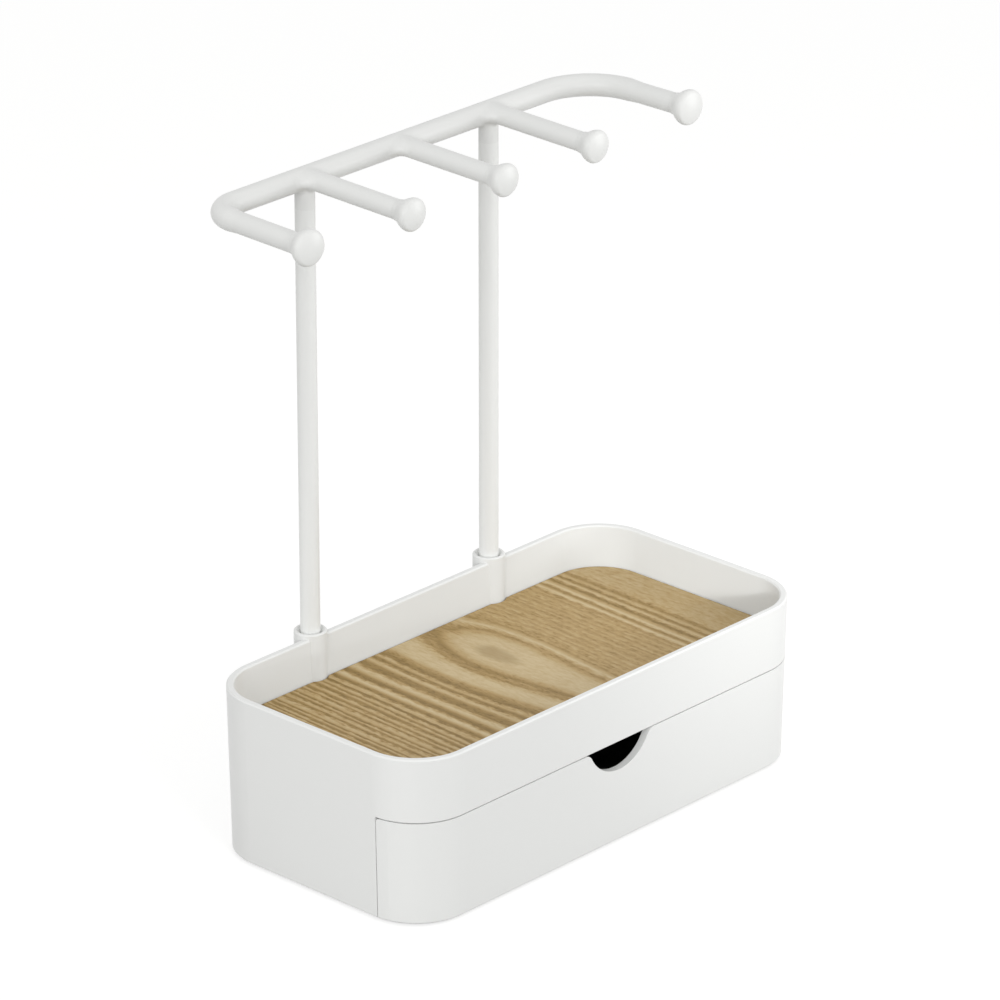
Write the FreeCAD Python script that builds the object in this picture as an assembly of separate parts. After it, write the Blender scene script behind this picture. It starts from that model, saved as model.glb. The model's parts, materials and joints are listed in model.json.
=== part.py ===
import FreeCAD, Part
import math
import os

# A jewellery stand: a low drafted box with a wooden tray on top, a wrap-front drawer
# below, and a rack of five arms on two posts that plug into sockets behind the box.
# X runs along the front, Y from the front to the back, Z up. The box is drawn about its
# own middle; the finished stand is then moved so that the origin lies on the surface that
# it rests on, below the middle of its overall depth. Lengths in millimetres.

V = FreeCAD.Vector
X_AXIS = V(1, 0, 0)
Y_AXIS = V(0, 1, 0)
Z_AXIS = V(0, 0, 1)

# ---- driving dimensions: the box ----
box_width = 240.0
box_depth = 122.8
box_height = 73.2
corner_radius = 26.0
draft_angle = 1.1            # degrees, the box narrows towards its foot
wall = 3.2
rim_edge_break = 0.6
foot_edge_break = 0.6
foot_proud = 0.8             # thickness of the pads that lift the box

# ---- the tray on top ----
tray_depth = 18.7            # from the rim down to the wood
tray_board = 3.0
tray_gap = 0.4
board_edge_break = 0.3
deck_thickness = 2.0

# ---- the seams round the drawer front ----
drawer_face_height = 45.0
top_seam = 0.5
side_seam = 0.4
wrap_length = 24.5           # how far the drawer front reaches back round the corners
front_corner_rounding = 1.6

# ---- the drawer ----
drawer_travel = 80.0
drawer_wall = 2.0
drawer_floor = 2.0
drawer_floor_lift = 4.2      # underside of the floor above the foot of the box
drawer_side_room = 14.0      # from the side of the box to the side of the drawer
drawer_back_room = 11.4      # from the back of the box to the back of the drawer
drawer_side_drop = 1.8       # side walls end this far below the top of the front
drawer_box_corner = 3.0
drawer_least_corner = 0.5      # inner corners of the liner
notch_radius = 19.3
notch_depth = 12.5
notch_lip_radius = 4.0
running_gap = 0.4

# ---- the liner in the drawer ----
liner_gap = 0.2
liner_floor = 1.5
liner_wall = 1.2
liner_height = 24.0

# ---- catches, ribs, base and pads ----
catch_width = 8.0
catch_place = 60.0
catch_play = 0.3
stop_thickness = 2.0
rib_thickness = 1.6
guide_rib_height = 18.0
base_panel = 2.5
base_panel_gap = 0.5
rail_place = 80.0
rail_width = 3.0
rail_gap = 0.3
screw_inset = 8.6            # screw centre in from the side of the box
screw_front = -27.0
screw_back = 40.0
screw_recess_radius = 3.0
screw_recess_depth = 1.2
pad_radius = 5.0
pad_inset_x = 22.0
pad_inset_y = 20.0

# ---- the sockets behind the box ----
post_spacing = 108.0
post_behind_rim = 1.7        # post axis behind the outer face of the back wall
socket_radius = 7.0
socket_proud = 2.0
socket_depth = 45.0
socket_play = 0.15
socket_mouth_radius = 5.8
socket_mouth_depth = 1.6
socket_edge_break = 0.5
socket_core_radius = 5.0
socket_web = 2.0

# ---- the posts and the rack ----
post_radius = 4.2
post_bore_radius = 3.2
post_end_play = 0.2
bar_height = 274.5
stub_length = 12.7           # from the bar's axis down to the end of a post
bar_radius = 4.8
arm_radius = 4.2
arm_pitch = 54.0
arm_reach = 62.7             # bar axis to the face of a knob
arm_root_rise = 0.4          # arms leave the bar this far above its axis
arm_fall = 1.0               # degrees, towards the knob
arm_root_fillet = 6.0
end_arm_radius = 4.4
end_arm_place = 111.7        # face of an end knob, from the middle of the rack
end_arm_reach = 62.0
end_arm_climb = 1.1          # degrees
end_taper_length = 6.0
left_bend_radius = 14.0
left_splay = 4.0             # degrees that the arm leans outwards, or inwards where negative
right_bend_radius = 25.0
right_splay = -2.0
stub_root_fillet = 2.5
spigot_length = 12.0
spigot_play = 0.1

# ---- the knobs ----
knob_radius = 7.0
end_knob_radius = 7.6
knob_length = 10.2
knob_neck_step = 0.4
knob_edge = 1.6
knob_dome = 1.0
knob_bore_depth = 5.0
knob_bore_spare = 0.2
knob_bore_play = 0.05

# ---- allowances for cutting and fusing ----
cut_past = 1.0               # how far cutters reach past a face
fuse_into = 1.0              # how far added pins start inside their parent
same_height = 0.01

# ---- levels and places that follow ----
box_foot = foot_proud
rim_top = box_foot + box_height
wood_top = rim_top - tray_depth
deck_top = wood_top - tray_board
deck_bottom = deck_top - deck_thickness
drawer_top = box_foot + drawer_face_height
seam_top = drawer_top + top_seam
seam_front = -box_depth / 2 + wrap_length
drawer_front_back = seam_front - side_seam
drawer_half = box_width / 2 - drawer_side_room
drawer_box_back = box_depth / 2 - drawer_back_room
drawer_floor_bottom = box_foot + drawer_floor_lift
drawer_floor_top = drawer_floor_bottom + drawer_floor
drawer_side_top = drawer_top - drawer_side_drop
base_panel_top = box_foot + base_panel
post_x = post_spacing / 2
post_y = box_depth / 2 + post_behind_rim
socket_top = rim_top + socket_proud
socket_floor = socket_top - socket_depth
post_bottom = socket_floor + post_end_play
post_top = bar_height - stub_length
catch_face = drawer_box_back - drawer_wall
stop_back = catch_face - drawer_travel - catch_play
inner_rib_front = seam_front + running_gap + drawer_wall
middle_y = (post_y + socket_radius - box_depth / 2) / 2
far = box_width + box_depth


def box(x_low, x_high, y_low, y_high, z_low, z_high):
    return Part.makeBox(x_high - x_low, y_high - y_low, z_high - z_low, V(x_low, y_low, z_low))


def mirrored_pair(shape):
    return [shape, shape.mirror(V(0, 0, 0), X_AXIS)]


def fuse_all(shapes):
    whole = shapes[0].multiFuse(shapes[1:])
    return whole.removeSplitter()


def box_outline(inset, z):
    """The drafted, round-cornered outline of the box at a height, moved inwards."""
    taper = (rim_top - z) * math.tan(math.radians(draft_angle))
    half_x = box_width / 2 - taper - inset
    half_y = box_depth / 2 - taper - inset
    radius = corner_radius - taper - inset
    return rounded_rectangle(-half_x, half_x, -half_y, half_y, radius, z)


def rounded_rectangle(x_low, x_high, y_low, y_high, radius, z):
    diagonal = radius * (1 - math.sqrt(0.5))
    corners = [
        (x_high, y_low, -1, 1),
        (x_high, y_high, -1, -1),
        (x_low, y_high, 1, -1),
        (x_low, y_low, 1, 1),
    ]
    arcs = []
    for index, (x, y, in_x, in_y) in enumerate(corners):
        along_x = V(x + in_x * radius, y, z)
        along_y = V(x, y + in_y * radius, z)
        middle = V(x + in_x * diagonal, y + in_y * diagonal, z)
        start, end = (along_x, along_y) if index % 2 == 0 else (along_y, along_x)
        arcs.append((start, middle, end))
    edges = []
    for index, (start, middle, end) in enumerate(arcs):
        edges.append(Part.Arc(start, middle, end).toShape())
        edges.append(Part.LineSegment(end, arcs[(index + 1) % 4][0]).toShape())
    return Part.Wire(edges)


def drafted_block(inset, z_low, z_high):
    return Part.makeLoft([box_outline(inset, z_low), box_outline(inset, z_high)], True, True)


def edges_at_height(shape, z):
    return [edge for edge in shape.Edges
            if abs(edge.BoundBox.ZMin - z) < same_height and abs(edge.BoundBox.ZMax - z) < same_height]


def outer_form():
    """The full outside of the box with its foot edge broken; casing and drawer share it."""
    block = drafted_block(0, box_foot, rim_top)
    return block.makeChamfer(foot_edge_break, edges_at_height(block, box_foot))


def casing_inner_ribs():
    """Side guides, hold-downs and stops for the drawer, trimmed to the inside of the walls."""
    guide_low = box_foot + guide_rib_height
    guide = box(drawer_half + running_gap, far, inner_rib_front, drawer_box_back,
                guide_low, guide_low + rib_thickness)
    hold_down = box(drawer_half - rib_thickness, drawer_half, inner_rib_front, drawer_box_back,
                    drawer_side_top + running_gap, deck_top)
    stop = box(catch_place - catch_width / 2, catch_place + catch_width / 2,
               stop_back - stop_thickness, stop_back, drawer_side_top + running_gap, deck_top)
    inside = drafted_block(wall / 2, box_foot, deck_top)
    trimmed = [piece.common(inside) for piece in (guide, hold_down, stop)]
    return [copy for piece in trimmed for copy in mirrored_pair(piece)]


def socket_boss():
    boss = Part.makeCylinder(socket_radius, socket_top - box_foot, V(post_x, post_y, box_foot))
    return boss.makeChamfer(socket_edge_break, edges_at_height(boss, socket_top))


def socket_bore():
    radius = post_radius + socket_play
    bore = Part.makeCylinder(radius, socket_depth + cut_past, V(post_x, post_y, socket_floor))
    mouth = Part.makeCone(radius, socket_mouth_radius, socket_mouth_depth,
                          V(post_x, post_y, socket_top - socket_mouth_depth))
    core_height = socket_floor - socket_web - box_foot
    core = Part.makeCylinder(socket_core_radius, core_height, V(post_x, post_y, box_foot))
    return [bore, mouth, core]


def casing():
    """Rim, deck, side and back walls in one moulding, open in front for the drawer."""
    shell = outer_form()
    shell = shell.cut(drafted_block(wall, deck_top, rim_top + cut_past))
    shell = shell.cut(drafted_block(wall, box_foot - cut_past, deck_bottom))
    shell = shell.makeChamfer(rim_edge_break, edges_at_height(shell, rim_top))
    shell = fuse_all([shell] + casing_inner_ribs() + mirrored_pair(socket_boss()))
    opening = box(-far, far, -far, seam_front, box_foot - cut_past, seam_top)
    cuts = [opening]
    for cutter in socket_bore():
        cuts += mirrored_pair(cutter)
    return shell.cut(cuts)


def base_plate():
    """The panel that closes the box from below, with rails that the drawer runs on."""
    plate = drafted_block(wall + base_panel_gap, box_foot, base_panel_top)
    rail_top = drawer_floor_bottom - rail_gap
    rail = box(rail_place - rail_width / 2, rail_place + rail_width / 2, inner_rib_front, drawer_box_back,
               base_panel_top, rail_top)
    plate = fuse_all([plate] + mirrored_pair(rail))
    cuts = []
    clear_of_boss = Part.makeCylinder(socket_radius + base_panel_gap, base_panel + 2 * cut_past,
                                      V(post_x, post_y, box_foot - cut_past))
    cuts += mirrored_pair(clear_of_boss)
    screw_x = box_width / 2 - screw_inset
    for screw_y in (screw_front, screw_back):
        recess = Part.makeCylinder(screw_recess_radius, screw_recess_depth, V(screw_x, screw_y, box_foot))
        cuts += mirrored_pair(recess)
    return plate.cut(cuts)


def foot_pads():
    """Four thin pads stuck under the base plate, one node because they are all alike."""
    x = box_width / 2 - pad_inset_x
    y = box_depth / 2 - pad_inset_y
    places = [(-x, -y), (x, -y), (-x, y), (x, y)]
    return Part.makeCompound([Part.makeCylinder(pad_radius, foot_proud, V(px, py, 0)) for px, py in places])


def tray_board_shape():
    """The veneered board that lies on the deck inside the rim."""
    board = drafted_block(wall + tray_gap, deck_top, wood_top)
    clear = Part.makeCylinder(socket_radius + tray_gap, tray_board + 2 * cut_past,
                              V(post_x, post_y, deck_top - cut_past))
    board = board.cut(mirrored_pair(clear))
    return board.makeChamfer(board_edge_break, edges_at_height(board, wood_top))


def drawer_rear_space(inset, z_low, z_high):
    half = drawer_half - inset
    back = drawer_box_back - inset
    radius = max(drawer_box_corner - inset, drawer_least_corner)
    front = drawer_front_back - drawer_box_corner * 2 - drawer_wall
    profile = rounded_rectangle(-half, half, front, back, radius, z_low)
    return Part.Face(profile).extrude(Z_AXIS * (z_high - z_low))


def drawer_space(inset, z_low, z_high):
    """The T-shaped room of the drawer: full width behind its front, narrower behind.

    The inset is measured inwards from the outside of the moulding."""
    front_inset = inset * wall / drawer_wall if inset <= drawer_wall else wall + inset - drawer_wall
    front = drafted_block(front_inset, z_low, z_high)
    front = front.common(box(-far, far, -far, drawer_front_back - inset, z_low, z_high))
    rear = drawer_rear_space(inset, z_low, z_high)
    return front.fuse(rear).removeSplitter()


def drawer_face_region(z_low):
    """Where the drawer's wrap-round face lies: below the top seam, in front of the side seams."""
    region = box(-far, far, -far, drawer_front_back, z_low, drawer_top)
    corners = []
    for edge in edges_at_height(region, drawer_top):
        bounds = edge.BoundBox
        if abs(bounds.YMin - drawer_front_back) < same_height and bounds.YLength < same_height:
            corners.append(edge)
    return region.makeFillet(front_corner_rounding, corners)


def notch_cutter():
    """A shallow round scoop with rounded lips, for one or two fingers."""
    centre_z = drawer_top - notch_depth + notch_radius
    lip_z = drawer_top - notch_lip_radius
    reach = notch_radius + notch_lip_radius
    lip_x = math.sqrt(reach ** 2 - (centre_z - lip_z) ** 2)
    touch_x = lip_x * notch_radius / reach
    touch_z = centre_z - (centre_z - lip_z) * notch_radius / reach
    turn_x = lip_x - touch_x
    turn_z = lip_z - touch_z
    mid_length = math.hypot(-turn_x, notch_lip_radius - turn_z)
    mid_x = lip_x - notch_lip_radius * turn_x / mid_length
    mid_z = lip_z + notch_lip_radius * (notch_lip_radius - turn_z) / mid_length
    y = -box_depth / 2 - cut_past
    above = drawer_top + cut_past
    left = [V(-lip_x, y, drawer_top), V(-mid_x, y, mid_z), V(-touch_x, y, touch_z)]
    right = [V(touch_x, y, touch_z), V(mid_x, y, mid_z), V(lip_x, y, drawer_top)]
    bottom = V(0, y, drawer_top - notch_depth)
    edges = [
        Part.Arc(*left).toShape(),
        Part.Arc(left[2], bottom, right[0]).toShape(),
        Part.Arc(*right).toShape(),
        Part.LineSegment(right[2], V(lip_x, y, above)).toShape(),
        Part.LineSegment(V(lip_x, y, above), V(-lip_x, y, above)).toShape(),
        Part.LineSegment(V(-lip_x, y, above), left[0]).toShape(),
    ]
    return Part.Face(Part.Wire(edges)).extrude(Y_AXIS * (notch_lip_radius + wall))


def drawer():
    """Wrap-round front, floor and walls in one moulding, with two catches at the back."""
    face = outer_form().common(drawer_face_region(box_foot))
    face = face.cut(drafted_block(wall, box_foot - cut_past, drawer_top + cut_past))
    tub = drawer_space(0, drawer_floor_bottom, drawer_side_top)
    tub = tub.cut(drawer_space(drawer_wall, drawer_floor_top, drawer_side_top + cut_past))
    tub = tub.cut(box(-far, far, -far, drawer_front_back - drawer_wall - wall, drawer_floor_top, far))
    catch = box(catch_place - catch_width / 2, catch_place + catch_width / 2, catch_face, drawer_box_back,
                drawer_side_top - fuse_into, deck_bottom - running_gap)
    body = fuse_all([face, tub] + mirrored_pair(catch))
    return body.cut(notch_cutter())


def drawer_liner():
    outside = drawer_wall + liner_gap
    low = drawer_floor_top
    liner = drawer_space(outside, low, low + liner_height)
    return liner.cut(drawer_space(outside + liner_wall, low + liner_floor, low + liner_height + cut_past))


def post():
    tube = Part.makeCylinder(post_radius, post_top - post_bottom, V(post_x, post_y, post_bottom))
    bore = Part.makeCylinder(post_bore_radius, post_top - post_bottom, V(post_x, post_y, post_bottom))
    return tube.cut(bore)


def end_arm_lines(bend_radius, splay):
    """Start of the bend, its centre, the start of the straight arm and the arm's direction."""
    climb = math.radians(end_arm_climb)
    lean = math.radians(splay)
    forward = V(0, -math.cos(climb), math.sin(climb))
    direction = X_AXIS * math.sin(lean) + forward * math.cos(lean)
    bend_end_forward = bend_radius * (1 - math.sin(lean))
    length = (end_arm_reach - bend_end_forward) / math.cos(lean)
    bend_end_x = end_arm_place - length * math.sin(lean)
    bend_start = V(bend_end_x - bend_radius * math.cos(lean), post_y, bar_height)
    bend_end = V(bend_end_x, post_y, bar_height) + forward * bend_end_forward
    return bend_start, bend_start + forward * bend_radius, bend_end, direction, length


def end_arm(bend_radius, splay):
    """A bent end of the bar, then a straight that tapers to the arm's radius."""
    bend_start, centre, bend_end, direction, length = end_arm_lines(bend_radius, splay)
    bar_end = Part.makeCylinder(bar_radius, bend_start.x, V(0, post_y, bar_height), X_AXIS)
    turn_axis = X_AXIS.cross(direction)
    bend = circle_face(bend_start, X_AXIS, bar_radius).revolve(centre, turn_axis, 90 - splay)
    taper = Part.makeCone(bar_radius, end_arm_radius, end_taper_length, bend_end, direction)
    straight_length = length - end_taper_length - knob_length + knob_bore_depth
    straight = Part.makeCylinder(end_arm_radius, straight_length, bend_end + direction * end_taper_length,
                                 direction)
    return bar_end, bend, taper, straight


def circle_face(centre, direction, radius):
    return Part.Face(Part.Wire([Part.Circle(centre, direction, radius).toShape()]))


def arm_root(x):
    return V(x, post_y, bar_height + arm_root_rise)


def arm_direction():
    return V(0, -math.cos(math.radians(arm_fall)), -math.sin(math.radians(arm_fall)))


def arm(x):
    length = arm_reach - knob_length + knob_bore_depth
    return Part.makeCylinder(arm_radius, length, arm_root(x), arm_direction())


def stub(x):
    """The short leg that stands on a post."""
    return Part.makeCylinder(post_radius, stub_length, V(x, post_y, bar_height), Z_AXIS * -1)


def spigot(x):
    """The pin below a stub that plugs into the post."""
    return Part.makeCylinder(post_bore_radius - spigot_play, spigot_length + fuse_into,
                             V(x, post_y, post_top + fuse_into), Z_AXIS * -1)


def root_edges(shape, direction):
    """The curved edges where round branches along this direction leave the rest."""
    round_or_straight = ("Part::GeomCircle", "Part::GeomLine")
    edges = []
    for face in shape.Faces:
        if face.Surface.TypeId != "Part::GeomCylinder":
            continue
        if abs(face.Surface.Axis.dot(direction)) > 0.999:
            edges += [edge for edge in face.Edges if edge.Curve.TypeId not in round_or_straight]
    return edges


def rack():
    """The bar with its two bent ends, three arms and two stubs, one moulding."""
    right_bar, *right_end = end_arm(right_bend_radius, right_splay)
    left_pieces = end_arm(left_bend_radius, left_splay)
    left_bar, *left_end = [piece.mirror(V(0, 0, 0), X_AXIS) for piece in left_pieces]
    bar = right_bar.fuse(left_bar).removeSplitter()
    stub_places = (-post_x, post_x)
    comb = bar.multiFuse([arm(x) for x in (-arm_pitch, 0, arm_pitch)])
    comb = comb.makeFillet(arm_root_fillet, root_edges(comb, Y_AXIS))
    comb = comb.multiFuse([stub(x) for x in stub_places])
    comb = comb.makeFillet(stub_root_fillet, root_edges(comb, Z_AXIS))
    return comb.multiFuse(right_end + left_end + [spigot(x) for x in stub_places])


def knob(face_place, direction, radius, arm_end_radius):
    """A flared knob with a softened edge and a low domed face, bored for its arm."""
    neck = arm_end_radius + knob_neck_step
    chamfer = knob_edge * (1 - math.sqrt(0.5))
    outline = [(0, 0), (radius - knob_edge, knob_dome), (radius - chamfer, knob_dome + chamfer),
               (radius, knob_dome + knob_edge), (neck, knob_length), (0, knob_length)]
    dome = Part.Arc(V(0, 0, 0), V(outline[1][0] / 2, knob_dome / 4, 0), V(*outline[1], 0)).toShape()
    points = [V(distance, place, 0) for distance, place in outline[1:] + outline[:1]]
    sides = [Part.LineSegment(start, end).toShape() for start, end in zip(points, points[1:])]
    solid = Part.Face(Part.Wire([dome] + sides)).revolve(V(0, 0, 0), Y_AXIS, 360)
    bore = Part.makeCylinder(arm_end_radius + knob_bore_play, knob_bore_depth + knob_bore_spare + cut_past,
                             V(0, knob_length + cut_past, 0), Y_AXIS * -1)
    solid = solid.cut(bore)
    solid.Placement = FreeCAD.Placement(face_place, FreeCAD.Rotation(Y_AXIS * -1, direction))
    return solid


def end_knob(bend_radius, splay):
    _, _, bend_end, direction, length = end_arm_lines(bend_radius, splay)
    return knob(bend_end + direction * length, direction, end_knob_radius, end_arm_radius)


def knobs():
    """Five push-on knobs, one node because they are all alike."""
    middle = [knob(arm_root(x) + arm_direction() * arm_reach, arm_direction(), knob_radius, arm_radius)
              for x in (-arm_pitch, 0, arm_pitch)]
    left = end_knob(left_bend_radius, left_splay).mirror(V(0, 0, 0), X_AXIS)
    right = end_knob(right_bend_radius, right_splay)
    return Part.makeCompound([left] + middle + [right])


def all_nodes():
    nodes = {
        "casing": casing(),
        "base_plate": base_plate(),
        "foot_pads": foot_pads(),
        "tray_board": tray_board_shape(),
        "drawer": drawer(),
        "drawer_liner": drawer_liner(),
        "rack": rack(),
        "knobs": knobs(),
    }
    for name, shape in zip(("left_post", "right_post"), reversed(mirrored_pair(post()))):
        nodes[name] = shape
    return nodes


os.makedirs("parts", exist_ok=True)
for node, shape in all_nodes().items():
    shape.translate(V(0, -middle_y, 0))
    shape.exportStep(f"parts/{node}.step")
    bounds = shape.BoundBox
    print(f"{node}: solids {len(shape.Solids)}, valid {shape.isValid()}, volume {shape.Volume:.0f}, "
          f"z {bounds.ZMin:.2f} to {bounds.ZMax:.2f}")
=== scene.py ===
import json
import math
import bmesh
import bpy
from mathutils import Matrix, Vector


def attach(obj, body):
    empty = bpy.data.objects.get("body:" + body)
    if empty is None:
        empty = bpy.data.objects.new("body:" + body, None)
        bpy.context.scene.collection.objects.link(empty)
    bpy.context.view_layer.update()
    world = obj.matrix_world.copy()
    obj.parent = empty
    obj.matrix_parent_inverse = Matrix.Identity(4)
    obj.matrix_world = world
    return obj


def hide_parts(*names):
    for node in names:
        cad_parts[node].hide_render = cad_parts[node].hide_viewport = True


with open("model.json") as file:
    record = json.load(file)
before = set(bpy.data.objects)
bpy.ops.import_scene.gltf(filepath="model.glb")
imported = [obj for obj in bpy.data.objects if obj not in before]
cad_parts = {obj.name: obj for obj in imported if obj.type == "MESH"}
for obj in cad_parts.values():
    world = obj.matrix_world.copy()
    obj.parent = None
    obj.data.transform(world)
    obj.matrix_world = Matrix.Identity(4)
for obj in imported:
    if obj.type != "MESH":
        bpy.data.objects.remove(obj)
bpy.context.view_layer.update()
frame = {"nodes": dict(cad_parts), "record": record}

# Jewellery stand: a white box with a wooden tray and a wrap-front drawer, and a rack of five
# knobbed arms on two posts. Metres, unless a note says mm: X to the right, Y to the back, Z up.

mm = 0.001
print("frame loaded:", len(frame["nodes"]), "nodes")


# small helpers for building node trees

def feed(tree, value, socket):
    # another node's output is linked, a plain value is set
    if isinstance(value, bpy.types.NodeSocket):
        tree.links.new(value, socket)
    else:
        socket.default_value = value


def addNode(tree, kind, x, y, **settings):
    node = tree.nodes.new(kind)
    node.location = (x, y)
    for key, value in settings.items():
        if key in node.inputs:
            feed(tree, value, node.inputs[key])
        else:
            setattr(node, key, value)
    return node


def mathStep(tree, operation, x, y, *values):
    node = addNode(tree, "ShaderNodeMath", x, y, operation=operation)
    for index, value in enumerate(values):
        feed(tree, value, node.inputs[index])
    return node.outputs[0]


def pick(tree, x, y, test, ifNot, ifSo):
    # one of two numbers, by a test that is 0 or 1
    return mathStep(tree, "MULTIPLY_ADD", x, y, test, ifSo - ifNot, ifNot)


def between(tree, x, y, value, low, high):
    above = mathStep(tree, "GREATER_THAN", x, y, value, low)
    below = mathStep(tree, "LESS_THAN", x, y - 150, value, high)
    return mathStep(tree, "MULTIPLY", x + 150, y, above, below)


def noise(tree, x, y, place, scale, **settings):
    node = addNode(tree, "ShaderNodeTexNoise", x, y, Vector=place, Scale=scale, **settings)
    return node.outputs["Fac"]


def mixColours(tree, x, y, share, first, second):
    node = addNode(tree, "ShaderNodeMix", x, y, data_type="RGBA")
    for index, value in ((0, share), (6, first), (7, second)):
        feed(tree, value, node.inputs[index])
    return node.outputs[2]


def mapRange(tree, x, y, value, start, end, toStart=0.0, toEnd=1.0, easing="LINEAR"):
    node = addNode(tree, "ShaderNodeMapRange", x, y, interpolation_type=easing)
    labels = ("Value", "From Min", "From Max", "To Min", "To Max")
    for label, setting in zip(labels, (value, start, end, toStart, toEnd)):
        feed(tree, setting, node.inputs[label])
    return node.outputs["Result"]


def bumpNormal(tree, x, y, height, strength, depth):
    node = addNode(tree, "ShaderNodeBump", x, y, Strength=strength, Distance=depth, Height=height)
    return node.outputs["Normal"]


def colourRamp(tree, x, y, value, stops, easing="LINEAR"):
    node = addNode(tree, "ShaderNodeValToRGB", x, y, Fac=value)
    ramp = node.color_ramp
    ramp.interpolation = easing
    ramp.elements[0].position, ramp.elements[1].position = stops[0][0], stops[-1][0]
    ramp.elements[0].color = stops[0][1]
    ramp.elements[1].color = stops[-1][1]
    for place, colour in stops[1:-1]:
        ramp.elements.new(place).color = colour
    return node.outputs["Color"]


def greyStops(pairs, span):
    return [(place / span, (tone, tone, tone, 1)) for place, tone in pairs]


def newMaterial(name, x=500):
    material = bpy.data.materials.new(name)
    material.use_nodes = True
    tree = material.node_tree
    tree.nodes.clear()
    shader = addNode(tree, "ShaderNodeBsdfPrincipled", x, 0)
    addNode(tree, "ShaderNodeOutputMaterial", x + 300, 0, Surface=shader.outputs["BSDF"])
    return material, tree, shader


def newGroup(name, inputs, outputs):
    group = bpy.data.node_groups.new(name, "ShaderNodeTree")
    for label, kind, value in inputs:
        socket = group.interface.new_socket(label, in_out="INPUT", socket_type=kind)
        socket.default_value = value
    for label, kind in outputs:
        group.interface.new_socket(label, in_out="OUTPUT", socket_type=kind)
    entry = addNode(group, "NodeGroupInput", -1200, 0)
    leave = addNode(group, "NodeGroupOutput", 700, 0)
    return group, entry.outputs, leave.inputs


def useGroup(tree, group, x, y, values):
    node = addNode(tree, "ShaderNodeGroup", x, y)
    node.node_tree = group
    for key, value in values.items():
        node.inputs[key].default_value = value
    return node.outputs


# shared effects

noiseSpan = (0.3, 0.7)               # where most of a noise's values lie
mouldedGrainDepth = 0.05 * mm


def mouldedSkinGroup():
    # soft drift of colour and gloss, and a fine moulded grain
    group, given, made = newGroup("mouldedSkin", [
        ("Colour", "NodeSocketColor", (0.8, 0.8, 0.8, 1)),
        ("Drift", "NodeSocketColor", (0.78, 0.78, 0.77, 1)),
        ("Gloss Low", "NodeSocketFloat", 0.3),
        ("Gloss High", "NodeSocketFloat", 0.36),
        ("Drift Size", "NodeSocketFloat", 14.0),
        ("Grain Size", "NodeSocketFloat", 2600.0),
        ("Grain Height", "NodeSocketFloat", 0.06),
    ], [("Colour", "NodeSocketColor"), ("Roughness", "NodeSocketFloat"),
        ("Normal", "NodeSocketVector")])
    place = addNode(group, "ShaderNodeTexCoord", -1200, -300).outputs["Object"]
    drift = noise(group, -900, 200, place, given["Drift Size"], Detail=2.0, Roughness=0.5)
    tint = mixColours(group, -500, 250, drift, given["Colour"], given["Drift"])
    gloss = mapRange(group, -500, 0, drift, *noiseSpan, given["Gloss Low"], given["Gloss High"])
    grain = noise(group, -900, -250, place, given["Grain Size"], Detail=2.0, Roughness=0.5)
    skin = bumpNormal(group, -150, -300, grain, given["Grain Height"], mouldedGrainDepth)
    feed(group, tint, made["Colour"])
    feed(group, gloss, made["Roughness"])
    feed(group, skin, made["Normal"])
    return group


def stretched(tree, x, y, place, across, along):
    # a place scaled by one amount along Y, the grain, and by another across it
    amounts = addNode(tree, "ShaderNodeCombineXYZ", x, y, X=across, Y=along, Z=across)
    scaled = addNode(tree, "ShaderNodeVectorMath", x + 200, y, operation="MULTIPLY")
    feed(tree, place, scaled.inputs[0])
    feed(tree, amounts.outputs["Vector"], scaled.inputs[1])
    return scaled.outputs["Vector"]


def fibreGroup():
    # long fibres along Y: streaks, and short dark pores between them
    group, given, made = newGroup("longFibres", [
        ("Across", "NodeSocketFloat", 900.0),
        ("Along", "NodeSocketFloat", 22.0),
        ("Pore Size", "NodeSocketFloat", 1500.0),
        ("Pore Stretch", "NodeSocketFloat", 0.35),
        ("Pore From", "NodeSocketFloat", 0.56),
        ("Pore Full", "NodeSocketFloat", 0.70),
    ], [("Streak", "NodeSocketFloat"), ("Pores", "NodeSocketFloat")])
    place = addNode(group, "ShaderNodeTexCoord", -1200, -300).outputs["Object"]
    long = stretched(group, -1000, 100, place, given["Across"], given["Along"])
    streak = noise(group, -550, 150, long, 1.0, Detail=4.0, Roughness=0.6)
    length = mathStep(group, "MULTIPLY", -1100, -450, given["Pore Size"], given["Pore Stretch"])
    short = stretched(group, -1000, -250, place, given["Pore Size"], length)
    pores = noise(group, -550, -200, short, 1.0, Detail=1.0, Roughness=0.4)
    feed(group, streak, made["Streak"])
    feed(group, mapRange(group, -250, -200, pores, given["Pore From"], given["Pore Full"]),
         made["Pores"])
    return group


mouldedSkin = mouldedSkinGroup()
longFibres = fibreGroup()


# white mouldings and enamelled posts

boxLook = {
    "colour": (0.790, 0.796, 0.782, 1), "drift": (0.784, 0.789, 0.778, 1),
    "glossLow": 0.30, "glossHigh": 0.34, "grainHeight": 0.08, "grainSize": 2600.0,
    "ior": 1.46, "shine": 0.4,
}
rackLook = {
    "colour": (0.800, 0.805, 0.790, 1), "drift": (0.792, 0.797, 0.782, 1),
    "glossLow": 0.34, "glossHigh": 0.38, "grainHeight": 0.05, "grainSize": 2200.0,
    "ior": 1.46, "shine": 0.4,
}
postLook = {
    "colour": (0.825, 0.831, 0.816, 1), "drift": (0.818, 0.824, 0.808, 1),
    "glossLow": 0.30, "glossHigh": 0.34, "grainHeight": 0.08, "grainSize": 700.0,
    "ior": 1.5, "shine": 0.45,
}


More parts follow.
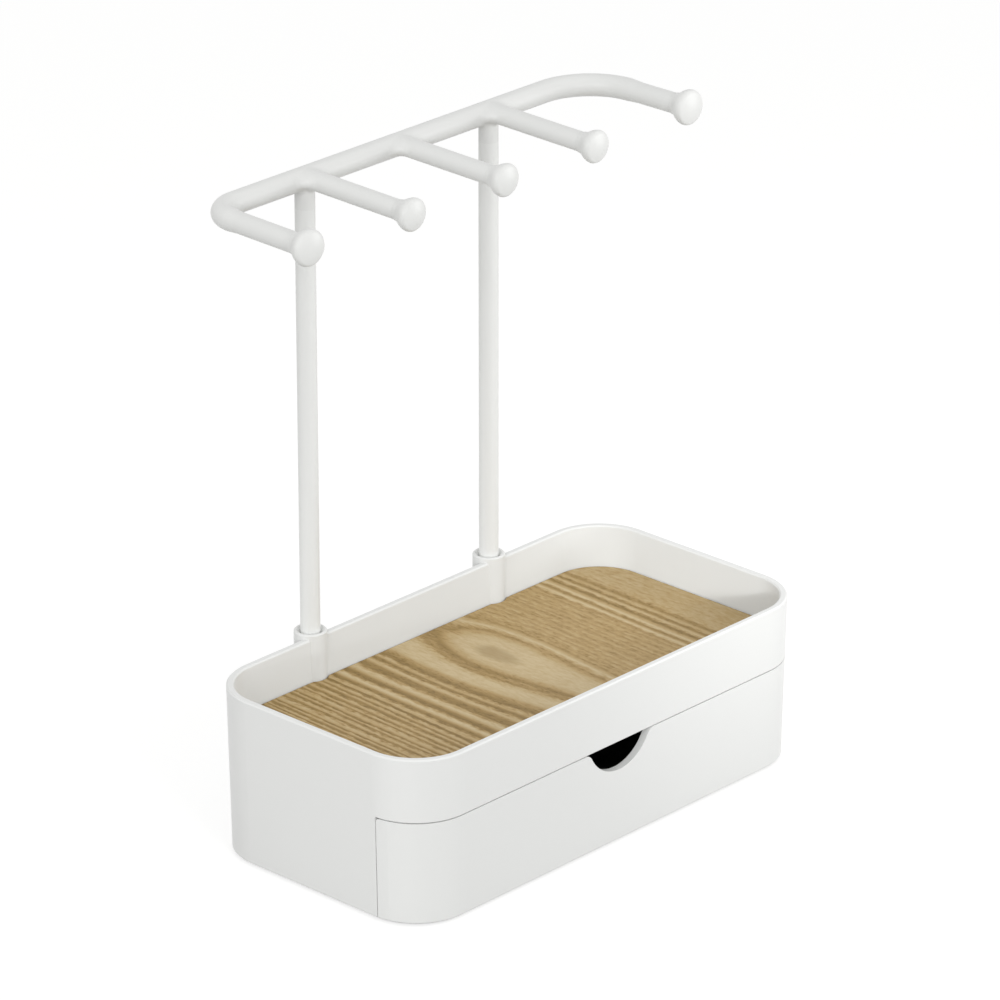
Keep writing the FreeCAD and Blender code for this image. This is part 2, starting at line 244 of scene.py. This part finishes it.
def whitePlastic(name, look):
    material, tree, shader = newMaterial(name)
    skin = useGroup(tree, mouldedSkin, 0, 0, {
        "Colour": look["colour"], "Drift": look["drift"], "Gloss Low": look["glossLow"],
        "Gloss High": look["glossHigh"], "Grain Height": look["grainHeight"],
        "Grain Size": look["grainSize"]})
    feed(tree, skin["Colour"], shader.inputs["Base Color"])
    feed(tree, skin["Roughness"], shader.inputs["Roughness"])
    feed(tree, skin["Normal"], shader.inputs["Normal"])
    shader.inputs["IOR"].default_value = look["ior"]
    shader.inputs["Specular IOR Level"].default_value = look["shine"]
    return material


# lacquered ash: rings round an oval eye, drawn by their distance from it; lengths here are in mm

ashLook = {
    "eyeAt": (15.0, 13.5),               # middle of the oval that the rings make
    "lean": 0.04,                        # the grain leans to the right towards the back
    "wander": 0.9,                       # slow waviness of the grain
    "wanderSize": (70, 13, 70),
    # the rings draw in beside the oval, from its eye outwards until the pinch ends
    "pinchLeft": 0.17, "pinchRight": 0.07, "bendRound": 8.0,
    "pinchFrom": 14.0, "pinchToFront": 58.0, "pinchToBack": 32.0,
    # behind the eye they close by this width over this distance, up to a limit
    "closeWidth": 12.5, "closeOver": 29.4, "closeLimit": 14.8, "closeBlend": 2.0,
    "roundness": 3.0,                    # 2 gives round ends, more gives squarer ones
    "feather": 1.3,                      # raggedness of the band edges
    # tones of the yearly bands by distance from the eye, out to reach
    "reach": 82.0,
    "leftBands": [
        (0, .92), (10.5, .90), (13.5, .66), (16.6, .22), (18.6, .42), (20.4, .36), (22.6, .80),
        (26, .96), (30, .88), (33.2, .42), (36, .12), (38.8, .72), (40.8, .14), (43.8, .84),
        (46.6, .24), (48.2, .16), (52.2, .92), (56.8, .06), (60.4, .96), (64.3, .12),
        (66.8, .74), (68.6, .30), (71, .46), (82, .46)],
    "rightBands": [
        (0, .92), (6.5, .94), (9.5, .86), (12.2, .62), (14.6, .36), (16.4, .66), (18.2, .94),
        (19.8, .66), (21.8, .36), (24, .55), (28, .55), (57, .52), (58.6, .42), (60.8, .96),
        (63.3, .26), (65.6, .98), (67.4, .62), (69.4, .12), (72, .84), (74.4, .20),
        (76.5, .74), (79, .30), (82, .70)],
    # close lines where the tree grew slowly
    "linePitch": 3.45, "lineWobble": 5.0, "lineWobbleSize": 0.13,
    "lineDepthLeft": 0.29, "lineDepthRight": 0.085, "lineDepthEnd": 0.034,
    "linesLeftFrom": 67.5, "linesRight": (22.0, 57.0), "linesEndFrom": 80.0,
    # the greyish spot in the oval, with a tail towards the front
    "eyeShift": (-2.0, 5.5), "eyeHalfWidth": 6.2, "eyeTail": 19.0, "eyeHead": 10.0,
    "eyeEdge": (1.1, 0.15), "eyeStrength": 0.62, "eyeShade": (0.345, 0.236, 0.098, 1),
    # single fibres, and pores that show more in the dark bands than in the pale ones
    "fibres": {"Across": 820.0, "Along": 230.0, "Pore Size": 1150.0},
    "streak": 0.80, "poreDark": -0.37, "poreFade": 0.36, "porePale": -0.02,
    "shades": [(0.0, (0.222, 0.134, 0.026, 1)), (0.30, (0.320, 0.203, 0.058, 1)),
               (0.55, (0.440, 0.296, 0.114, 1)), (1.0, (0.585, 0.462, 0.262, 1))],
    # light that the wood throws onto the white walls keeps only part of its colour
    "paleBounce": 0.75, "bounceShade": (0.34, 0.325, 0.28, 1),
    "roughness": (0.30, 0.40), "relief": 0.15, "reliefDepth": 0.03, "ior": 1.45, "shine": 0.25,
}


def ashPlaces(tree, look):
    # across and along the grain from the eye, with the slow waviness added
    place = addNode(tree, "ShaderNodeTexCoord", -2600, 0).outputs["Object"]
    split = addNode(tree, "ShaderNodeSeparateXYZ", -2400, 0, Vector=place).outputs
    slow = addNode(tree, "ShaderNodeMapping", -2400, -300, Vector=place, Scale=look["wanderSize"])
    wander = noise(tree, -2200, -300, slow.outputs["Vector"], 1.0, Detail=1.0)
    wave = mathStep(tree, "MULTIPLY_ADD", -2000, -300, wander, 2 * look["wander"],
                    -look["wander"])
    eyeX, eyeY = look["eyeAt"]
    along = mathStep(tree, "MULTIPLY_ADD", -2200, -100, split["Y"], 1 / mm, -eyeY)
    across = mathStep(tree, "MULTIPLY_ADD", -2200, 100, split["X"], 1 / mm, -eyeX)
    upright = mathStep(tree, "MULTIPLY_ADD", -2000, 50, along, -look["lean"], across)
    return mathStep(tree, "ADD", -1850, 50, upright, wave), along


def ashRings(tree, look, across, along):
    # distance from the eye, in rings that draw in beside the oval and close behind it
    distance = mathStep(tree, "ABSOLUTE", -1650, 150, across)
    isRight = mathStep(tree, "GREATER_THAN", -1650, 0, across, 0.0)
    isFront = mathStep(tree, "LESS_THAN", -1650, 350, along, 0.0)
    bendRound, roundness = look["bendRound"], look["roundness"]
    squares = mathStep(tree, "MULTIPLY_ADD", -1700, -250, along, along, bendRound ** 2)
    root = mathStep(tree, "SQRT", -1600, -250, squares)
    bend = mathStep(tree, "SUBTRACT", -1500, -250, root, bendRound)
    pinch = pick(tree, -1500, -50, isRight, look["pinchLeft"], look["pinchRight"])
    pinchTo = pick(tree, -1500, 300, isFront, look["pinchToBack"], look["pinchToFront"])
    fade = mapRange(tree, -1350, 250, distance, look["pinchFrom"], pinchTo, 1.0, 0.0,
                    "SMOOTHSTEP")
    pinched = mathStep(tree, "MULTIPLY", -1400, -100, bend, pinch)
    drawn = mathStep(tree, "MULTIPLY", -1300, 0, pinched, fade)
    spread = mathStep(tree, "ADD", -1150, 100, distance, drawn)
    back = mathStep(tree, "MAXIMUM", -1600, -450, along, 0.0)
    behind = mathStep(tree, "MULTIPLY", -1500, -450, back, look["closeWidth"] / look["closeOver"])
    gap = mathStep(tree, "SMOOTH_MIN", -1300, -450, behind, look["closeLimit"],
                   look["closeBlend"])
    total = mathStep(tree, "ADD", -1000, 50,
                     mathStep(tree, "POWER", -1150, 50, spread, roundness),
                     mathStep(tree, "POWER", -1150, -350, gap, roundness))
    return mathStep(tree, "POWER", -900, 50, total, 1 / roundness), isRight


def ashLineDepth(tree, look, ring, isRight):
    # how strongly the close lines show: at the left end, in the plain part and at the right end
    isLeft = mathStep(tree, "SUBTRACT", -550, -700, 1.0, isRight)
    farLeft = mathStep(tree, "GREATER_THAN", -400, -800, ring, look["linesLeftFrom"])
    farRight = mathStep(tree, "GREATER_THAN", -400, -1200, ring, look["linesEndFrom"])
    plainPart = between(tree, -550, -950, ring, *look["linesRight"])
    left = mathStep(tree, "MULTIPLY", -200, -700, isLeft, farLeft)
    right = mathStep(tree, "MULTIPLY", -200, -950, isRight, plainPart)
    end = mathStep(tree, "MULTIPLY", -200, -1200, isRight, farRight)
    rightDepth = mathStep(tree, "MULTIPLY", -50, -850, right, look["lineDepthRight"])
    endDepth = mathStep(tree, "MULTIPLY", 0, -1100, end, look["lineDepthEnd"])
    depth = mathStep(tree, "MULTIPLY_ADD", 0, -700, left, look["lineDepthLeft"], rightDepth)
    return mathStep(tree, "ADD", 100, -800, depth, endDepth)


def ashBands(tree, look, ring, isRight, streak):
    ragged = mathStep(tree, "MULTIPLY_ADD", -850, -100, streak, 2 * look["feather"],
                      -look["feather"])
    frayed = mathStep(tree, "ADD", -700, 50, ring, ragged)
    bandPlace = mathStep(tree, "DIVIDE", -550, 50, frayed, look["reach"])
    left, right = (colourRamp(tree, -400, y, bandPlace, greyStops(look[label], look["reach"]),
                              "EASE")
                   for label, y in (("leftBands", 200), ("rightBands", -50)))
    bands = addNode(tree, "ShaderNodeMix", -100, 50, data_type="FLOAT")
    for index, value in ((0, isRight), (2, left), (3, right)):
        feed(tree, value, bands.inputs[index])
    uneven = addNode(tree, "ShaderNodeTexNoise", -850, -500, noise_dimensions="1D", W=ring,
                     Scale=look["lineWobbleSize"], Detail=1.0)
    wobble = mathStep(tree, "MULTIPLY_ADD", -700, -500, uneven.outputs["Fac"],
                      look["lineWobble"], frayed)
    phase = mathStep(tree, "MULTIPLY", -550, -500, wobble, 2 * math.pi / look["linePitch"])
    lines = mathStep(tree, "SINE", -400, -500, phase)
    depth = ashLineDepth(tree, look, ring, isRight)
    return mathStep(tree, "MULTIPLY_ADD", 200, -500, lines, depth, bands.outputs[0])


def ashEye(tree, look, across, along):
    shiftX, shiftY = look["eyeShift"]
    shifted = mathStep(tree, "ADD", 200, 600, across, -shiftX)
    x = mathStep(tree, "DIVIDE", 300, 600, shifted, look["eyeHalfWidth"])
    near = mathStep(tree, "SUBTRACT", 0, 750, along, shiftY)
    isFront = mathStep(tree, "LESS_THAN", 100, 750, near, 0.0)
    halfLength = pick(tree, 200, 850, isFront, look["eyeHead"], look["eyeTail"])
    y = mathStep(tree, "DIVIDE", 300, 750, near, halfLength)
    far = mathStep(tree, "MULTIPLY_ADD", 500, 650, y, y,
                   mathStep(tree, "MULTIPLY", 400, 600, x, x))
    return mapRange(tree, 700, 650, far, *look["eyeEdge"], 0.0, look["eyeStrength"],
                    "SMOOTHSTEP")


def ashWood(look):
    material, tree, shader = newMaterial("lacqueredAsh", 1500)
    fibres = useGroup(tree, longFibres, -1100, -650, look["fibres"])
    across, along = ashPlaces(tree, look)
    ring, isRight = ashRings(tree, look, across, along)
    tone = ashBands(tree, look, ring, isRight, fibres["Streak"])
    streak = mathStep(tree, "MULTIPLY_ADD", 300, -400, fibres["Streak"], look["streak"],
                      -look["streak"] / 2)
    streaked = mathStep(tree, "ADD", 400, -300, tone, streak)
    poreTone = mathStep(tree, "MULTIPLY_ADD", 300, -150, tone, look["poreFade"],
                        look["poreDark"])
    poreDepth = mathStep(tree, "MINIMUM", 400, -150, poreTone, look["porePale"])
    pored = mathStep(tree, "MULTIPLY_ADD", 500, -200, fibres["Pores"], poreDepth, streaked)
    shade = colourRamp(tree, 700, 100, pored, look["shades"])
    eyed = mixColours(tree, 1000, 200, ashEye(tree, look, across, along), shade,
                      look["eyeShade"])
    path = addNode(tree, "ShaderNodeLightPath", 1000, 500).outputs
    bounce = mathStep(tree, "MULTIPLY", 1150, 500, path["Is Diffuse Ray"], look["paleBounce"])
    feed(tree, mixColours(tree, 1250, 200, bounce, eyed, look["bounceShade"]),
         shader.inputs["Base Color"])
    feed(tree, mapRange(tree, 1000, -150, fibres["Streak"], 0.0, 1.0, *look["roughness"]),
         shader.inputs["Roughness"])
    feed(tree, bumpNormal(tree, 1200, -350, fibres["Streak"], look["relief"],
                          look["reliefDepth"] * mm), shader.inputs["Normal"])
    shader.inputs["IOR"].default_value = look["ior"]
    shader.inputs["Specular IOR Level"].default_value = look["shine"]
    return material


flockLook = {
    "pile": (0.012, 0.011, 0.011, 1), "tips": (0.026, 0.024, 0.024, 1), "pileSize": 5200.0,
    "brushSize": 60.0, "nap": 0.6, "napDepth": 0.15 * mm, "roughness": 0.95, "shine": 0.15,
    "sheen": 0.25, "sheenRoughness": 0.5,
}


def blackFlock(look):
    material, tree, shader = newMaterial("blackFlock")
    place = addNode(tree, "ShaderNodeTexCoord", -700, 0).outputs["Object"]
    pile = noise(tree, -450, 100, place, look["pileSize"], Detail=2.0)
    brushed = noise(tree, -450, -200, place, look["brushSize"], Detail=2.0)
    share = mathStep(tree, "MULTIPLY", -250, 50, pile, brushed)
    feed(tree, mixColours(tree, -100, 100, share, look["pile"], look["tips"]),
         shader.inputs["Base Color"])
    feed(tree, bumpNormal(tree, 100, -250, pile, look["nap"], look["napDepth"]),
         shader.inputs["Normal"])
    shader.inputs["Roughness"].default_value = look["roughness"]
    shader.inputs["Specular IOR Level"].default_value = look["shine"]
    shader.inputs["Sheen Weight"].default_value = look["sheen"]
    shader.inputs["Sheen Roughness"].default_value = look["sheenRoughness"]
    return material


padLook = {
    "grey": (0.16, 0.16, 0.165, 1), "dust": (0.24, 0.24, 0.235, 1), "speckSize": 900.0,
    "skin": 0.4, "skinDepth": 0.08 * mm, "roughness": 0.75,
}


def padRubber(look):
    material, tree, shader = newMaterial("padRubber")
    place = addNode(tree, "ShaderNodeTexCoord", -700, 0).outputs["Object"]
    speck = noise(tree, -450, 100, place, look["speckSize"], Detail=4.0)
    feed(tree, mixColours(tree, -100, 100, speck, look["grey"], look["dust"]),
         shader.inputs["Base Color"])
    feed(tree, bumpNormal(tree, 100, -250, speck, look["skin"], look["skinDepth"]),
         shader.inputs["Normal"])
    shader.inputs["Roughness"].default_value = look["roughness"]
    return material


zincLook = {
    "dull": (0.50, 0.51, 0.52, 1), "bright": (0.66, 0.66, 0.65, 1), "cloudSize": 700.0,
    "roughness": (0.25, 0.45),
}


def zincSteel(look):
    material, tree, shader = newMaterial("zincSteel")
    place = addNode(tree, "ShaderNodeTexCoord", -700, 0).outputs["Object"]
    cloud = noise(tree, -450, 100, place, look["cloudSize"], Detail=3.0)
    feed(tree, mixColours(tree, -100, 100, cloud, look["dull"], look["bright"]),
         shader.inputs["Base Color"])
    feed(tree, mapRange(tree, -100, -150, cloud, 0.0, 1.0, *look["roughness"]),
         shader.inputs["Roughness"])
    shader.inputs["Metallic"].default_value = 1.0
    return material


finishes = {
    "white_plastic": whitePlastic("satinWhitePlastic", boxLook),
    "rack_plastic": whitePlastic("glossWhitePlastic", rackLook),
    "post_enamel": whitePlastic("whiteEnamel", postLook),
    "ash_veneer": ashWood(ashLook),
    "black_flock": blackFlock(flockLook),
    "pad_rubber": padRubber(padLook),
}
zinc = zincSteel(zincLook)
for part in frame["record"]["subparts"]:
    node = frame["nodes"][part["node"]]
    for holder in node.material_slots:
        holder.material = finishes[part["material_slot"]]
print("materials ready:", len(finishes) + 1)


# pieces that are turned on a lathe

def turned(name, profile, sides, material):
    # profile: (distance from the axis, place along it); the axis is local Z
    shape = bmesh.new()
    rings = []
    for radius, height in profile:
        if radius == 0:
            rings.append([shape.verts.new((0, 0, height))])
            continue
        rings.append([shape.verts.new((radius * math.cos(2 * math.pi * k / sides),
                                       radius * math.sin(2 * math.pi * k / sides), height))
                      for k in range(sides)])
    for low, high in zip(rings, rings[1:]):
        for k in range(sides):
            after = (k + 1) % sides
            if len(low) == 1:
                shape.faces.new((low[0], high[after], high[k]))
            elif len(high) == 1:
                shape.faces.new((low[k], low[after], high[0]))
            else:
                shape.faces.new((low[k], low[after], high[after], high[k]))
    bmesh.ops.recalc_face_normals(shape, faces=shape.faces)
    mesh = bpy.data.meshes.new(name)
    shape.to_mesh(mesh)
    shape.free()
    mesh.shade_smooth()
    mesh.materials.append(material)
    piece = bpy.data.objects.new(name, mesh)
    bpy.context.scene.collection.objects.link(piece)
    return piece


knobLook = {
    "length": 10.2 * mm, "sides": 64,
    "dome": 1.0 * mm, "domeSteps": 8,
    "edge": 1.7 * mm, "edgeFrom": 12.0, "edgeTall": 1.15, "edgeSteps": 7,
    "neckProud": 0.3 * mm, "neckRound": 0.25 * mm, "neckBreak": 0.3, "waistSteps": 14,
    "boreDepth": 5.2 * mm, "boreGap": 0.05 * mm,
    # name, middle of the face in mm, turn to the left and climb of the arm in degrees,
    # and the radius of the head and of the arm in mm
    "places": [("knob_far_left", (-111.7, -3.239, 275.690), 4.0, 1.1, 7.6, 4.4),
               ("knob_left", (-54, -3.940, 273.806), 0.0, -1.0, 7.0, 4.2),
               ("knob_middle", (0, -3.940, 273.806), 0.0, -1.0, 7.0, 4.2),
               ("knob_right", (54, -3.940, 273.806), 0.0, -1.0, 7.0, 4.2),
               ("knob_far_right", (111.7, -3.239, 275.690), 2.0, 1.1, 7.6, 4.4)],
}


def knobProfile(look, radius, armRadius):
    # from the middle of the domed face, round the edge, down the waisted side, into the bore
    edge, dome, length = look["edge"], look["dome"], look["length"]
    faceRadius = radius - edge
    points = [(0, 0)]
    for k in range(1, look["domeSteps"] + 1):
        share = k / look["domeSteps"]
        points.append((faceRadius * share, dome * share ** 2))
    start = look["edgeFrom"]
    startSin, startCos = math.sin(math.radians(start)), math.cos(math.radians(start))
    for k in range(1, look["edgeSteps"] + 1):
        turn = math.radians(start + (90 - start) * k / look["edgeSteps"])
        points.append((faceRadius + edge * (math.sin(turn) - startSin) / (1 - startSin),
                       dome + look["edgeTall"] * edge * (startCos - math.cos(turn))))
    widest = points[-1][1]
    neck, neckRound = armRadius + look["neckProud"], look["neckRound"]
    for k in range(1, look["waistSteps"] + 1):
        share = k / look["waistSteps"]
        ease = 0.5 + 0.5 * math.cos(math.pi * share)
        points.append((neck + (radius - neck) * ease,
                       widest + (length - neckRound - widest) * share))
    softened = look["neckBreak"] * neckRound
    bore, boreEnd = armRadius + look["boreGap"], length - look["boreDepth"]
    return points + [(neck - softened, length - softened), (neck - neckRound, length),
                     (bore, length), (bore, boreEnd), (0, boreEnd)]


def makeKnobs(look):
    knobs = []
    for name, face, turn, climb, radius, armRadius in look["places"]:
        profile = knobProfile(look, radius * mm, armRadius * mm)
        knob = turned(name, profile, look["sides"], finishes["rack_plastic"])
        turn, climb = math.radians(turn), math.radians(climb)
        outwards = Vector((-math.sin(turn) * math.cos(climb),
                           -math.cos(turn) * math.cos(climb), math.sin(climb)))
        knob.location = Vector(face) * mm
        knob.rotation_euler = (-outwards).to_track_quat("Z", "Y").to_euler()
        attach(knob, "hanger")
        knobs.append(knob)
    for knob in knobs:
        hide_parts("knobs")


makeKnobs(knobLook)
print("knobs ready")


screwLook = {
    "headRadius": 2.6 * mm, "low": 1.0 * mm, "high": 2.0 * mm, "sides": 32,
    # share of the head's radius, and height above its lowest point in mm
    "crown": [(0, 0), (0.45, 0.02), (0.75, 0.12), (0.93, 0.32), (1, 0.55)],
    "crossLength": 2.9 * mm, "crossWidth": 0.62 * mm, "cutterHeight": 1.3 * mm,
    "firstTurn": 17, "nextTurn": 31,     # no two heads stop at the same angle; degrees
    "places": [("screw_front_left", -111.4, -31.35), ("screw_front_right", 111.4, -31.35),
               ("screw_back_left", -111.4, 35.65), ("screw_back_right", 111.4, 35.65)],
}


def crossTool(look, head):
    cutter = bmesh.new()
    length, width = look["crossLength"], look["crossWidth"]
    for size in ((length, width), (width, length)):
        made = bmesh.ops.create_cube(cutter, size=1)["verts"]
        bmesh.ops.scale(cutter, verts=made, vec=(*size, look["cutterHeight"]))
    tool = bpy.data.objects.new("crossTool", bpy.data.meshes.new("crossTool"))
    cutter.to_mesh(tool.data)
    cutter.free()
    bpy.context.scene.collection.objects.link(tool)
    tool.location = head.location
    tool.rotation_euler = head.rotation_euler
    return tool


def makeScrews(look):
    radius, rise = look["headRadius"], look["high"] - look["low"]
    profile = [(radius * share, height * mm) for share, height in look["crown"]]
    profile += [(radius, rise), (0, rise)]
    for index, (name, x, y) in enumerate(look["places"]):
        head = turned(name, profile, look["sides"], zinc)
        head.location = (x * mm, y * mm, look["low"])
        turn = look["firstTurn"] + look["nextTurn"] * index
        head.rotation_euler = (0, 0, math.radians(turn))
        tool = crossTool(look, head)
        cross = head.modifiers.new("cross", "BOOLEAN")
        cross.object = tool
        cross.use_self = True
        cross.solver = "EXACT"
        bpy.context.view_layer.update()
        shaped = head.evaluated_get(bpy.context.evaluated_depsgraph_get())
        mesh = bpy.data.meshes.new_from_object(shaped)
        head.modifiers.clear()
        head.data = mesh
        bpy.data.objects.remove(tool)
        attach(head, "base")


makeScrews(screwLook)
print("screws ready")


# studio

def seenDirectly(tree):
    # 1 where the camera sees it, straight or in a mirror or glass
    path = addNode(tree, "ShaderNodeLightPath", -500, -200).outputs
    mirrored = mathStep(tree, "MAXIMUM", -300, -300, path["Is Glossy Ray"],
                        path["Is Transmission Ray"])
    return mathStep(tree, "MAXIMUM", -200, -200, path["Is Camera Ray"], mirrored)


floorLook = {
    "paper": (0.42, 0.42, 0.415, 1), "lift": 0.67,
    "drop": -0.2 * mm,                   # just under the pads, so that their faces stay apart
    "halfSize": 3.0, "squares": 4,
}


def floorMaterial(look):
    material = bpy.data.materials.new("paleFloor")
    material.use_nodes = True
    tree = material.node_tree
    tree.nodes.clear()
    paper = addNode(tree, "ShaderNodeBsdfDiffuse", 0, 100, Color=look["paper"])
    strength = mathStep(tree, "MULTIPLY", -100, -100, seenDirectly(tree), look["lift"])
    lift = addNode(tree, "ShaderNodeEmission", 0, -100, Strength=strength)
    both = addNode(tree, "ShaderNodeAddShader", 300, 0)
    feed(tree, paper.outputs["BSDF"], both.inputs[0])
    feed(tree, lift.outputs["Emission"], both.inputs[1])
    addNode(tree, "ShaderNodeOutputMaterial", 600, 0, Surface=both.outputs["Shader"])
    return material


def makeFloor(look):
    sheet = bmesh.new()
    bmesh.ops.create_grid(sheet, x_segments=look["squares"], y_segments=look["squares"],
                          size=look["halfSize"])
    mesh = bpy.data.meshes.new("floor")
    sheet.to_mesh(mesh)
    sheet.free()
    mesh.materials.append(floorMaterial(look))
    floor = bpy.data.objects.new("floor", mesh)
    floor.location.z = look["drop"]
    bpy.context.scene.collection.objects.link(floor)


worldLook = {"ambient": 0.72, "background": 1.0}


def makeWorld(look):
    world = bpy.data.worlds.new("studio")
    bpy.context.scene.world = world
    world.use_nodes = True
    tree = world.node_tree
    tree.nodes.clear()
    strength = pick(tree, 0, 0, seenDirectly(tree), look["ambient"], look["background"])
    back = addNode(tree, "ShaderNodeBackground", 200, 0, Color=(1, 1, 1, 1), Strength=strength)
    addNode(tree, "ShaderNodeOutputWorld", 400, 0, Surface=back.outputs["Background"])


# a lamp stands at "from" as seen from the point that it aims at
lampAim = (0, 0, 0.08)
lamps = [
    {"name": "lowLeft", "kind": "SPOT", "aim": (0.0, 0.0, 0.045), "from": (-2.82, -0.97, 0.33),
     "size": 0.12, "power": 40.0, "cone": 5.4, "fade": 0.5},
    {"name": "broadLeft", "from": (-1.4, -0.5, 0.7), "size": 0.9, "power": 6.3},
    {"name": "key", "from": (-0.62, -1.36, 0.50), "size": 0.26, "power": 3.1},
    {"name": "rightEnd", "kind": "SPOT", "aim": (0.124, 0.0, 0.058), "from": (-1.20, -2.0, 0.71),
     "size": 0.12, "power": 60.0, "cone": 3.5, "fade": 0.7},
    {"name": "nearRight", "from": (0.42, -0.42, 0.20), "size": 0.3, "power": 1.2},
]


def makeLamps():
    for lamp in lamps:
        aim = Vector(lamp.get("aim", lampAim))
        data = bpy.data.lights.new(lamp["name"], lamp.get("kind", "AREA"))
        if data.type == "SPOT":
            data.shadow_soft_size = lamp["size"] / 2
            data.spot_size = math.radians(lamp["cone"])
            data.spot_blend = lamp["fade"]
        else:
            data.shape = "SQUARE"
            data.size = lamp["size"]
        data.energy = lamp["power"]
        light = bpy.data.objects.new(lamp["name"], data)
        light.location = aim + Vector(lamp["from"])
        light.rotation_euler = (aim - light.location).to_track_quat("-Z", "Y").to_euler()
        bpy.context.scene.collection.objects.link(light)


cameraLook = {
    "place": (-1.72014, -1.60076, 1.13761), "target": (-0.1422, -0.13055, 0.2166),
    "lens": 224.49, "sensor": 36, "nearest": 0.05, "farthest": 50,
}


def makeCamera(look):
    data = bpy.data.cameras.new("camera")
    data.lens = look["lens"]
    data.sensor_width = look["sensor"]
    data.clip_start = look["nearest"]
    data.clip_end = look["farthest"]
    camera = bpy.data.objects.new("camera", data)
    camera.location = look["place"]
    way = Vector(look["target"]) - camera.location
    camera.rotation_euler = way.to_track_quat("-Z", "Y").to_euler()
    bpy.context.scene.collection.objects.link(camera)
    bpy.context.scene.camera = camera


makeFloor(floorLook)
makeWorld(worldLook)
makeLamps()
makeCamera(cameraLook)
bpy.context.scene.view_settings.view_transform = "Standard"
print("studio ready")
